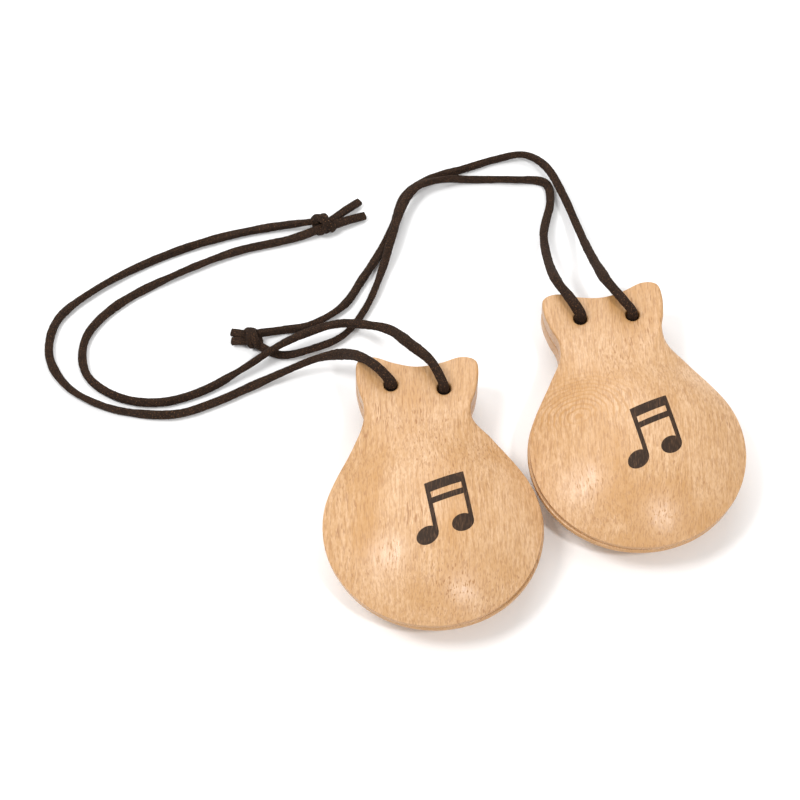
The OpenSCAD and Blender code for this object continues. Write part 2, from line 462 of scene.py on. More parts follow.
@dataclass(frozen=True)
class WoodFinish:
    """Pale hardwood with fine straight grain, short pores and a satin oil finish.

    Fields:
        name: The material's name.
        centre: Where the castanet's body centre lies, in metres.
        yaw: The turn of the grain on the table, in degrees.
        ring_axis: The direction across the growth rings, in the castanet's own frame.
        ring_gap: The distance between growth rings, in metres.
        ring_shade: How strongly the rings show.
        seed: Shifts the pattern, so that no two pieces are alike.
        figure: Middle of the curled figure in the castanet's own frame, in metres.
        figure_shade: How strongly the curled figure shows.
        figure_gap: The distance between the figure's arches, in metres.
        cream: The palest tone.
        blond: The tone of the darker grain.
        honey: The tone where the wood took more oil; on steep walls it is partly painted shade.
        pore: The tone of the strokes and of the open pores.
        fibre_pattern: Fine fibres.
        pebble_pattern: Short flecks between them.
        streak_pattern: Long streaks.
        mottle_pattern: Broad pale and dark patches.
        cloud_pattern: Clouds where more oil went in.
        stroke_pattern: Dense faint strokes.
        dash_pattern: Fewer dark strokes, where the pores lie open.
    """

    name: str
    centre: Point
    yaw: float
    ring_axis: Point
    ring_gap: float = 0.0017
    ring_shade: float = 0.30
    seed: float = 0.0
    figure: Point = (0.0, 0.0, 0.0)
    figure_shade: float = 0.0
    figure_gap: float = 0.0015
    cream: Colour = (0.745, 0.492, 0.293)
    blond: Colour = (0.565, 0.330, 0.158)
    honey: Colour = (0.520, 0.272, 0.096)
    pore: Colour = (0.330, 0.150, 0.058)
    fibre_pattern: Pattern = Pattern((1.0, 0.10, 0.6), 1250, 3.0, 0.6)
    pebble_pattern: Pattern = Pattern((1.0, 0.38, 0.6), 2100, 2.0, 0.55)
    streak_pattern: Pattern = Pattern((1.0, 0.04, 0.7), 430, 3.0, 0.6)
    mottle_pattern: Pattern = Pattern((1.0, 0.42, 1.0), 85, 4.0, 0.6)
    cloud_pattern: Pattern = Pattern((1.0, 0.55, 1.0), 48, 3.0, 0.55)
    stroke_pattern: Pattern = Pattern((1.0, 0.13, 0.6), 2300, 1.0)
    dash_pattern: Pattern = Pattern((1.0, 0.085, 0.6), 3300, 0.0)

    def swayed(self, n: Nodes, wood: bpy.types.NodeSocket) -> bpy.types.NodeSocket:
        """Lets the grain wander a little from side to side along its length.

        Args:
            n: The material's nodes.
            wood: Coordinates in the wood.

        Returns:
            Coordinates that wander.
        """
        wander = n.noise(n.scaled(wood, (1.0, 0.45, 1.0)), 42, 2.0)
        aside = n.math("SUBTRACT", wander, 0.5)
        sway = n.add("ShaderNodeCombineXYZ")
        n.link(n.math("MULTIPLY", aside, 0.0045), sway.inputs["X"])
        n.link(n.math("MULTIPLY", aside, 0.0030), sway.inputs["Z"])
        moved = n.add("ShaderNodeVectorMath", operation="ADD")
        n.link(wood, moved.inputs[0])
        n.link(sway.outputs[0], moved.inputs[1])
        return moved.outputs[0]

    def growth_rings(
        self, n: Nodes, grain: bpy.types.NodeSocket, patchy: bpy.types.NodeSocket
    ) -> bpy.types.NodeSocket:
        """Draws the growth rings as soft lines.

        Args:
            n: The material's nodes.
            grain: Coordinates that follow the grain.
            patchy: How well the rings show from place to place.

        Returns:
            How dark the rings are.
        """
        across = n.add("ShaderNodeVectorMath", operation="DOT_PRODUCT")
        across.inputs[1].default_value = self.ring_axis
        n.link(grain, across.inputs[0])
        ring_noise = n.math("MULTIPLY", n.noise(grain, 70, 3.0), 1.6)
        turns = n.math("ADD", n.math("DIVIDE", across.outputs["Value"], self.ring_gap), ring_noise)
        wave = n.math("SINE", n.math("MULTIPLY", turns, math.tau))
        rings = n.math("POWER", n.ramp(wave, -1.0, 1.0), 1.6)
        return n.math("MULTIPLY", rings, n.math("MULTIPLY", patchy, self.ring_shade))

    def curled_figure(
        self, n: Nodes, own: bpy.types.NodeSocket, wood: bpy.types.NodeSocket
    ) -> bpy.types.NodeSocket:
        """Draws the curled figure: thin arches about its own middle, open downwards.

        Args:
            n: The material's nodes.
            own: Coordinates in the castanet's own frame.
            wood: Coordinates in the wood.

        Returns:
            How dark the arches are.
        """
        squeeze = (0.8, 1.0, 0.3)
        away = n.add("ShaderNodeVectorMath", operation="DISTANCE")
        away.inputs[1].default_value = tuple(f * g for f, g in zip(self.figure, squeeze))
        n.link(n.scaled(own, squeeze), away.inputs[0])
        reach = away.outputs["Value"]
        curl = n.math("MULTIPLY", n.noise(wood, 110, 3.0, 0.6), 2.6)
        curl = n.math("ADD", n.math("DIVIDE", reach, self.figure_gap), curl)
        curl = n.ramp(n.math("SINE", n.math("MULTIPLY", curl, math.tau)), -0.1, 1.0)
        near = n.ramp(reach, 0.008, 0.021, 1.0, 0.0)
        low = self.figure[1] - 0.005
        near = n.math("MULTIPLY", near, n.ramp(n.along(own, "Y"), low, low + 0.006))
        return n.math("MULTIPLY", curl, n.math("MULTIPLY", near, self.figure_shade))

    def build(self) -> bpy.types.Material:
        """Lays out the wood's nodes and returns the material."""
        n = Nodes(self.name)
        place = n.add("ShaderNodeTexCoord")
        mapping = n.add("ShaderNodeMapping", vector_type="TEXTURE")
        mapping.inputs["Location"].default_value = self.centre
        mapping.inputs["Rotation"].default_value = (0.0, 0.0, math.radians(self.yaw))
        n.link(place.outputs["Object"], mapping.inputs["Vector"])
        own = mapping.outputs["Vector"]
        shift = n.add("ShaderNodeVectorMath", operation="ADD")
        shift.inputs[1].default_value = (self.seed, self.seed * 0.7, self.seed * 0.4)
        n.link(own, shift.inputs[0])
        wood = shift.outputs[0]
        grain = self.swayed(n, wood)
        fibre = n.pattern(grain, self.fibre_pattern)
        streak = n.pattern(grain, self.streak_pattern)
        patchy = n.ramp(n.noise(wood, 38, 2.0), 0.38, 0.62, 0.35, 1.0)

        tone = n.add_up(
            self.growth_rings(n, grain, patchy),
            (n.ramp(n.pattern(wood, self.mottle_pattern), 0.32, 0.68), 0.30),
            (n.ramp(streak, 0.36, 0.64), 0.20),
            (n.ramp(fibre, 0.36, 0.64), 0.36),
            (n.ramp(n.pattern(grain, self.pebble_pattern), 0.36, 0.64), 0.36),
        )
        colour = n.mix(tone, self.cream, self.blond)
        curl = n.math("MULTIPLY", self.curled_figure(n, own, wood), 0.85)
        colour = n.mix(curl, colour, self.honey)

        # Steep walls turn to honey, partly as painted shade and partly as wood that took more oil;
        # clouds in the wood and the ears took more oil and turned to honey.
        upward = n.math("ABSOLUTE", n.along(place.outputs["Normal"], "Z"))
        painted_shade_and_oil = n.add_up(
            # painted shade, in part: the more a wall faces sideways, the more honey
            n.ramp(upward, 0.10, 0.90, 0.80, 0.0),
            (n.ramp(n.pattern(wood, self.cloud_pattern), 0.47, 0.68), 0.62),
            (tone, 0.14),
            (n.ramp(n.along(own, "Y"), 0.034, 0.047), 0.30),
        )
        colour = n.mix(painted_shade_and_oil, colour, self.honey)

        # Dense faint strokes, and fewer dark ones where the pores lie open.
        strokes = n.pattern(grain, self.stroke_pattern)
        faint = n.math("MULTIPLY", n.ramp(strokes, 0.50, 0.66), 0.38)
        dashes = n.pattern(grain, self.dash_pattern)
        pore = n.math("MULTIPLY", n.ramp(dashes, 0.66, 0.73), n.ramp(patchy, 0.3, 1.0, 0.5, 0.90))
        colour = n.mix(n.math("MAXIMUM", faint, n.math("MULTIPLY", pore, 0.8)), colour, self.pore)
        n.link(colour, n.shader.inputs["Base Color"])

        gloss = n.math("ADD", n.ramp(streak, 0.3, 0.7, 0.27, 0.36), n.math("MULTIPLY", pore, 0.3))
        n.link(gloss, n.shader.inputs["Roughness"])
        n.shader.inputs["Specular IOR Level"].default_value = 0.5
        height = n.math("SUBTRACT", n.math("MULTIPLY", fibre, 0.5), n.math("MULTIPLY", pore, 0.9))
        n.bump(height, 0.35, 0.00008)
        return n.material


@dataclass(frozen=True)
class SuedeFinish:
    """Dark brown suede cut into a lace, with a short nap and lighter specks.

    Fields:
        name: The material's name.
        seed: Shifts the pattern.
        dark: The tone between the nap.
        brown: The tone of the nap.
        speck: The tone of the lighter specks.
    """

    name: str
    seed: float = 0.0
    dark: Colour = (0.0135, 0.0080, 0.0055)
    brown: Colour = (0.038, 0.0215, 0.0140)
    speck: Colour = (0.200, 0.095, 0.042)

    def build(self) -> bpy.types.Material:
        """Lays out the suede's nodes and returns the material."""
        n = Nodes(self.name)
        place = n.add("ShaderNodeTexCoord")
        shift = n.add("ShaderNodeVectorMath", operation="ADD")
        shift.inputs[1].default_value = (self.seed, self.seed, self.seed)
        n.link(place.outputs["UV"], shift.inputs[0])
        nap = n.noise(n.scaled(shift.outputs[0], (1.0, 0.55, 1.0)), 2600, 4.0, 0.7)
        rub = n.noise(shift.outputs[0], 420, 3.0, 0.6)
        tone = n.add_up(0.0, (n.ramp(nap, 0.32, 0.70), 0.6), (n.ramp(rub, 0.35, 0.7), 0.4))
        colour = n.mix(tone, self.dark, self.brown)
        specks = n.noise(shift.outputs[0], 3000, 1.0)
        speck = n.math("MULTIPLY", n.ramp(specks, 0.62, 0.70), 0.80)
        colour = n.mix(speck, colour, self.speck)
        n.link(colour, n.shader.inputs["Base Color"])
        n.shader.inputs["Roughness"].default_value = 0.88
        n.shader.inputs["Specular IOR Level"].default_value = 0.12
        n.shader.inputs["Sheen Weight"].default_value = 0.04
        n.shader.inputs["Sheen Roughness"].default_value = 0.45
        n.shader.inputs["Sheen Tint"].default_value = (0.62, 0.46, 0.36, 1.0)
        n.bump(n.math("ADD", nap, n.math("MULTIPLY", rub, 0.8)), 0.75, 0.00022)
        return n.material


@dataclass(frozen=True)
class BurntMarkFinish:
    """Dark brown stamp on the wood, a little worn along the grain.

    Fields:
        name: The material's name.
        dark: The tone where it is whole.
        worn: The tone where it is worn.
    """

    name: str = "burnt_mark"
    dark: Colour = (0.036, 0.021, 0.013)
    worn: Colour = (0.115, 0.062, 0.034)

    def build(self) -> bpy.types.Material:
        """Lays out the stamp's nodes and returns the material."""
        n = Nodes(self.name)
        place = n.add("ShaderNodeTexCoord")
        streak = n.noise(n.scaled(place.outputs["Object"], (1.0, 0.12, 1.0)), 2400, 3.0, 0.65)
        colour = n.mix(n.ramp(streak, 0.45, 0.78), self.dark, self.worn)
        n.link(colour, n.shader.inputs["Base Color"])
        n.shader.inputs["Roughness"].default_value = 0.5
        n.shader.inputs["Specular IOR Level"].default_value = 0.15
        n.bump(streak, 0.3, 0.00005)
        return n.material


@dataclass(frozen=True)
class TableFinish:
    """Plain white table, faintly uneven so that it isn't a single flat colour.

    Fields:
        name: The material's name.
        light: Its lighter tone.
        shade: Its darker tone.
    """

    name: str = "white_table"
    light: Colour = (0.965, 0.965, 0.965)
    shade: Colour = (0.955, 0.955, 0.955)

    def build(self) -> bpy.types.Material:
        """Lays out the table's nodes and returns the material."""
        n = Nodes(self.name)
        place = n.add("ShaderNodeTexCoord")
        n.link(
            n.mix(n.noise(place.outputs["Object"], 6, 2.0), self.light, self.shade),
            n.shader.inputs["Base Color"],
        )
        n.shader.inputs["Roughness"].default_value = 0.9
        n.shader.inputs["Specular IOR Level"].default_value = 0.1
        return n.material


# ---------------------------------------------------------------- castanets


@dataclass(frozen=True)
class ShellShape:
    """Sizes of one shell, in metres and degrees.

    In a castanet's own frame the body's centre is the origin, the ears point along +Y and
    the plane between its two shells is z = 0.

    Fields:
        body_radius: The round body's radius.
        neck_y: How far the waist is from the body's centre.
        neck_half: Half of the waist's width.
        ear_half: Half of the width across the ears.
        ear_tip_y: How far the ears reach.
        belly: The height of the dome.
        ear: The thickness of the ears.
        rim: The height of the upright wall round the body.
        seam: The gap between the two shells.
        relief: The slant of the ears' inner face behind the lace holes.
        chamber_radius: The radius of the sound chamber's mouth.
        chamber_depth: The depth of the sound chamber.
        mouth_round: The bevel round the chamber's mouth.
        hole_radius: The radius of a lace hole.
        hole_x: How far each lace hole is from the middle.
        hole_y: How far the lace holes are from the body's centre.
        hole_tilt: The turn of the line through the two lace holes.
        hole_flare: Steps of the flare at a hole's outer end, each a rise and a growth.
        ear_centre_y: Where the ridge of the ears ends.
        ear_start_y: Where the body starts to change into the ears.
        ear_full_y: Where the change is complete.
        ear_edge: How far the ears' outer edge is rounded down.
        ear_round: How narrow the rounding of the ears is, as a part of the dome's.
        ridge_flat_y: Where the ridge starts to fall from the belly to the ears.
        sole_round: The round between the rim face and the wall.
        arc_step: The angle between the outline's points round the body.
        span_steps: How many vertices the outline has between two of its points.
        dome_rings: How many rings of vertices the dome has.
        crowding: How much the dome's rings crowd towards the rim.
    """

    body_radius: float = 0.0322
    neck_y: float = 0.0364
    neck_half: float = 0.0153
    ear_half: float = 0.0185
    ear_tip_y: float = 0.0558
    belly: float = 0.0124
    ear: float = 0.0058
    rim: float = 0.0016
    seam: float = 0.0002
    relief: float = 9.5
    chamber_radius: float = 0.0220
    chamber_depth: float = 0.0080
    mouth_round: float = 0.0004
    hole_radius: float = 0.0021
    hole_x: float = 0.0080
    hole_y: float = 0.0452
    hole_tilt: float = -4.5
    hole_flare: tuple[tuple[float, float], ...] = (
        (0.00020, 1.03),
        (0.00018, 1.07),
        (0.00014, 1.10),
        (0.00100, 1.25),
    )
    ear_centre_y: float = 0.0460
    ear_start_y: float = 0.0240
    ear_full_y: float = 0.0400
    ear_edge: float = 0.0009
    ear_round: float = 0.06
    ridge_flat_y: float = 0.0080
    sole_round: float = 0.00035
    arc_step: float = 15.0
    span_steps: int = 7
    dome_rings: int = 34
    crowding: float = 1.15

    def outline(self) -> list[Vector]:
        """Points of the closed outline, from the notch between the ears and clockwise.

        Returns:
            The points, evenly shared between the spans of the curve.
        """
        tip, neck = self.ear_tip_y, Vector((self.neck_half, self.neck_y))
        angle = math.degrees(
            math.atan2(neck.y, neck.x) - math.acos(self.body_radius / neck.length)
        )
        arc = []
        while angle >= -88.0:
            turn = math.radians(angle)
            arc.append(self.body_radius * Vector((math.cos(turn), math.sin(turn))))
            angle -= self.arc_step
        half = [
            Vector((0.0, tip - 3.4 * MM)),
            Vector((7.0 * MM, tip - 2.2 * MM)),
            Vector((13.4 * MM, tip)),
            Vector((17.8 * MM, tip - 1.2 * MM)),
            Vector((self.ear_half, tip - 6.0 * MM)),
            Vector((self.ear_half - 1.0 * MM, tip - 12.0 * MM)),
            Vector((self.neck_half + 0.8 * MM, self.neck_y + 2.6 * MM)),
            Vector((self.neck_half + 1.4 * MM, self.neck_y - 2.8 * MM)),
            (neck + arc[0]) / 2,
            *arc,
            Vector((0.0, -self.body_radius)),
        ]
        knots = half + [Vector((-p.x, p.y)) for p in reversed(half[1:-1])]
        return [
            catmull_rom(knots, i, k / self.span_steps, True)
            for i in range(len(knots))
            for k in range(self.span_steps)
        ]

    def hole_place(self, sign: int) -> Vector:
        """Middle of a straight castanet's lace hole, on the left for -1 and the right for 1."""
        turn = math.radians(self.hole_tilt)
        return Vector(
            (
                sign * self.hole_x * math.cos(turn),
                self.hole_y + sign * self.hole_x * math.sin(turn),
                0.0,
            )
        )

    def eariness(self, y: float) -> float:
        """How much a place belongs to the ears, from 0 on the body to 1 on the ears."""
        return ease(y, self.ear_start_y, self.ear_full_y)

    def rim_height(self, y: float) -> float:
        """Height of the upright wall at a place along the midline."""
        return self.rim + (self.ear - self.ear_edge - self.rim) * self.eariness(y)

    def ridge_height(self, y: float) -> float:
        """Height of the ridge at a place along the midline."""
        return self.belly + (self.ear - self.belly) * ease(y, self.ridge_flat_y, self.ear_full_y)

    def sole_point(self, p: Vector, inward: Vector, angle: float) -> Vector:
        """Point on the small round between the rim face and the upright wall.

        Args:
            p: The outline point.
            inward: The direction from it into the outline.
            angle: How far round, from 0 on the rim face to 90 degrees on the wall.

        Returns:
            The point, with the rim face at z = 0.
        """
        turn = math.radians(angle)
        q = p + inward * self.sole_round * (1.0 - math.sin(turn))
        return Vector((q.x, q.y, self.sole_round * (1.0 - math.cos(turn))))

    def dome_point(self, p: Vector, angle: float) -> Vector:
        """Point on the dome above an outline point.

        Args:
            p: The outline point.
            angle: How far up the dome, from 0 at the rim to 90 degrees at the ridge.

        Returns:
            The point, with the rim face at z = 0.
        """
        ridge_y = max(0.0, min(self.ear_centre_y, p.y))
        fall = math.cos(math.radians(angle))
        reach = 1.0 - (1.0 - self.ear_round) * self.eariness(p.y)
        s = min(1.0, (1.0 - fall) / reach)
        low, high = self.rim_height(p.y), self.ridge_height(ridge_y)
        swell = max(0.0, 1.0 - (1.0 - s) ** 2) ** (1.0 - self.eariness(p.y) / 2)
        height = low + (high - low) * swell
        return Vector((p.x * fall, ridge_y + (p.y - ridge_y) * fall, height))


@dataclass
class Castanet:
    """One castanet: two hollow shells that lie face to face.

    Fields:
        side: Which castanet of the pair it is.
        centre: Where its body's centre lies on the table, in metres.
        yaw: Its turn on the table, in degrees.
        skew: The turn of its ears against its body, in degrees.
        slip: The turn of its upper shell on the lower one, in degrees.
        woods: The lower shell's wood and the upper shell's.
        shape: The sizes of its shells.
        split_z: The height of the plane between its shells, in metres.
    """

    side: Side
    centre: Point
    yaw: float
    skew: float
    slip: float
    woods: tuple[WoodFinish, WoodFinish]
    shape: ShellShape = field(default_factory=ShellShape)
    split_z: float = 0.0125

    def skewed(self, p: Vector) -> Vector:
        """Point of a straight castanet after its ears are turned a little about the neck."""
        neck = Vector((0.0, self.shape.neck_y, 0.0))
        share = ease(p.y, neck.y - 10.0 * MM, neck.y + 4.0 * MM)
        return neck + Matrix.Rotation(math.radians(self.skew) * share, 3, "Z") @ (p - neck)

    def placing(self, half: Half) -> Matrix:
        """Where a shell lies on the table.

        Args:
            half: Which shell.

        Returns:
            The move from the castanet's own frame to the table's.
        """
        slip = math.radians(self.slip if half is Half.UPPER else 0.0)
        middle = self.skewed(Vector((0.0, self.shape.hole_y, 0.0)))
        return (
            Matrix.Translation((self.centre[0], self.centre[1], self.split_z))
            @ Matrix.Rotation(math.radians(self.yaw), 4, "Z")
            @ Matrix.Translation(middle)
            @ Matrix.Rotation(slip, 4, "Z")
            @ Matrix.Translation(-middle)
        )

    def hole(self, sign: int, height: float) -> Vector:
        """Place on the axis of a lace hole.

        Args:
            sign: -1 for the hole on the left, 1 for the one on the right.
            height: How far above the plane between the shells.

        Returns:
            The place on the table's frame.
        """
        p = self.skewed(self.shape.hole_place(sign))
        p.z = height
        return self.placing(Half.LOWER) @ p

    def blank(self) -> bpy.types.Object:
        """Builds the solid shell, with no chamber or holes, as the upper one of a pair.

        Returns:
            The shell, in the straight castanet's own frame, with its rim face at z = 0.
        """
        shape = self.shape
        outline = shape.outline()
        deselect_all()
        bpy.ops.mesh.primitive_circle_add(
            vertices=len(outline), radius=shape.body_radius, fill_type="NOTHING"
        )
        piece = bpy.context.object
        bpy.ops.object.mode_set(mode="EDIT")
        mesh = bmesh.from_edit_mesh(piece.data)
        station = mesh.verts.layers.int.new("station")
        mesh.verts.ensure_lookup_table()
        inward = self.inward(outline)
        for at, vert in enumerate(mesh.verts):
            vert[station] = at
            vert.co = shape.sole_point(outline[at], inward[at], 0.0)
        bmesh.update_edit_mesh(piece.data)
        bpy.ops.mesh.select_all(action="SELECT")
        bpy.ops.mesh.edge_face_add()
        rings = [
            [shape.sole_point(p, aside, angle) for p, aside in zip(outline, inward)]
            for angle in (30.0, 60.0, 90.0)
        ]
        rings += [
            [shape.dome_point(p, 90.0 * (k / shape.dome_rings) ** shape.crowding) for p in outline]
            for k in range(shape.dome_rings + 1)
        ]
        for ring in rings:
            bpy.ops.mesh.select_mode(type="EDGE")
            mesh = bmesh.from_edit_mesh(piece.data)
            boundary = [e for e in mesh.edges if e.select]
            for face in mesh.faces:
                face.select_set(False)
            for edge in boundary:
                edge.select_set(True)
            bmesh.update_edit_mesh(piece.data)
            bpy.ops.mesh.extrude_edges_move()
            mesh = bmesh.from_edit_mesh(piece.data)
            station = mesh.verts.layers.int["station"]
            for vert in mesh.verts:
                if vert.select:
                    vert.co = ring[vert[station]]
            bmesh.update_edit_mesh(piece.data)
        bpy.ops.mesh.select_all(action="SELECT")
        bpy.ops.mesh.remove_doubles(threshold=0.000004)
        bpy.ops.mesh.select_all(action="SELECT")
        bpy.ops.mesh.normals_make_consistent(inside=False)
        self.relieve(piece)
        bpy.ops.object.mode_set(mode="OBJECT")
        return piece

    def inward(self, outline: Sequence[Vector]) -> list[Vector]:
        """Directions that point into the outline, one for each of its points."""
        count = len(outline)
        result = []
        for i in range(count):
            along = (outline[(i + 1) % count] - outline[i - 1]).normalized()
            result.append(Vector((along.y, -along.x)))
        return result

    def relieve(self, piece: bpy.types.Object) -> None:
        """Slopes the inner face up behind the lace holes, so that the pair can open.

        Args:
            piece: The shell, in Edit Mode.
        """
        shape = self.shape
        mesh = bmesh.from_edit_mesh(piece.data)
        for face in mesh.faces:
            face.select_set(len(face.verts) > 20)
        bmesh.update_edit_mesh(piece.data)
        turn = math.radians(shape.hole_tilt)
        middle = Vector((0.0, shape.hole_y, 0.0))
        behind = Vector((-math.sin(turn), math.cos(turn), 0.0))
        bpy.ops.mesh.bisect(plane_co=middle, plane_no=behind)
        mesh = bmesh.from_edit_mesh(piece.data)
        slope = math.tan(math.radians(shape.relief))
        for vert in mesh.verts:
            reach = (vert.co - middle).dot(behind)
            if vert.co.z < shape.sole_round * 1.01 and reach > 0.0:
                vert.co.z += reach * slope
        bmesh.update_edit_mesh(piece.data)

    def chamber_cutter(self) -> bpy.types.Object:
        """Ball whose cap hollows out the sound chamber."""
        shape = self.shape
        radius = (shape.chamber_radius**2 + shape.chamber_depth**2) / (2 * shape.chamber_depth)
        deselect_all()
        bpy.ops.mesh.primitive_uv_sphere_add(
            segments=128,
            ring_count=96,
            radius=radius,
            location=(0.0, 0.0, shape.chamber_depth - radius + shape.seam / 2),
        )
        cutter = bpy.context.object
        settle(cutter)
        return cutter

    def hole_cutter(self, sign: int) -> bpy.types.Object:
        """Drill for one lace hole, flared where it leaves the ear's outer face.

        Args:
            sign: -1 for the hole on the left, 1 for the one on the right.

        Returns:
            The cutter, in the castanet's own frame.
        """
        shape = self.shape
        top = shape.ear + shape.seam / 2
        deselect_all()
        depth, below = top + 1.0 * MM, 1.5 * MM
        bpy.ops.mesh.primitive_cylinder_add(
            vertices=48, radius=shape.hole_radius, depth=depth, end_fill_type="NGON"
        )
        cutter = bpy.context.object
        cutter.location = (0.0, 0.0, depth / 2 - below)
        settle(cutter)
        bpy.ops.object.mode_set(mode="EDIT")
        mesh = bmesh.from_edit_mesh(cutter.data)
        for face in mesh.faces:
            face.select_set(face.normal.z > 0.9)
        bmesh.update_edit_mesh(cutter.data)
        for rise, grow in shape.hole_flare:
            bpy.ops.mesh.extrude_region_move(TRANSFORM_OT_translate={"value": (0, 0, rise)})
            bpy.ops.transform.resize(value=(grow, grow, 1.0))
        bpy.ops.object.mode_set(mode="OBJECT")
        cutter.location = self.skewed(shape.hole_place(sign))
        settle(cutter)
        return cutter

    def shell(self, half: Half) -> bpy.types.Object:
        """Builds one finished shell in its place.

        Args:
            half: Which shell.

        Returns:
            The shell.
        """
        shape = self.shape
        piece = self.blank()
        for vert in piece.data.vertices:
            vert.co = self.skewed(vert.co) + Vector((0.0, 0.0, shape.seam / 2))
        cut_away(piece, self.chamber_cutter())
        for sign in (-1, 1):
            cut_away(piece, self.hole_cutter(sign))
        self.soften_mouth(piece)
        if half is Half.LOWER:
            piece.data.transform(Matrix.Scale(-1.0, 4, (0.0, 0.0, 1.0)))
            piece.data.flip_normals()
        piece.data.transform(self.placing(half))
        named(piece, f"{self.side.value}_{half.value}_castanet_shell")
        smooth_shading(piece, 32.0)
        dress(piece, self.woods[0 if half is Half.LOWER else 1].build())
        return piece

    def soften_mouth(self, piece: bpy.types.Object) -> None:
        """Breaks the sharp edge round the chamber's mouth.

        Args:
            piece: The shell, in the castanet's own frame.
        """
        shape, flat, round_off = self.shape, 0.02 * MM, 0.12 * MM
        make_active(piece)
        bpy.ops.object.mode_set(mode="EDIT")
        bpy.ops.mesh.select_mode(type="EDGE")
        bpy.ops.mesh.select_all(action="DESELECT")
        mesh = bmesh.from_edit_mesh(piece.data)
        for edge in mesh.edges:
            edge.select_set(
                all(
                    abs(v.co.z - shape.seam / 2) < flat
                    and abs(math.hypot(v.co.x, v.co.y) - shape.chamber_radius) < round_off
                    for v in edge.verts
                )
            )
        bmesh.update_edit_mesh(piece.data)
        bpy.ops.mesh.bevel(offset=shape.mouth_round, segments=3, affect="EDGES")
        bpy.ops.object.mode_set(mode="OBJECT")

    def build(self) -> dict[Half, bpy.types.Object]:
        """Builds both shells, and rides them on their bodies.

        Returns:
            The shells by half.
        """
        shells = {}
        for half in Half:
            shells[half] = self.shell(half)
            body = f"{self.side.value}_{half.value}"
            stand_for(shells[half], f"{body}_shell", body)
        return shells


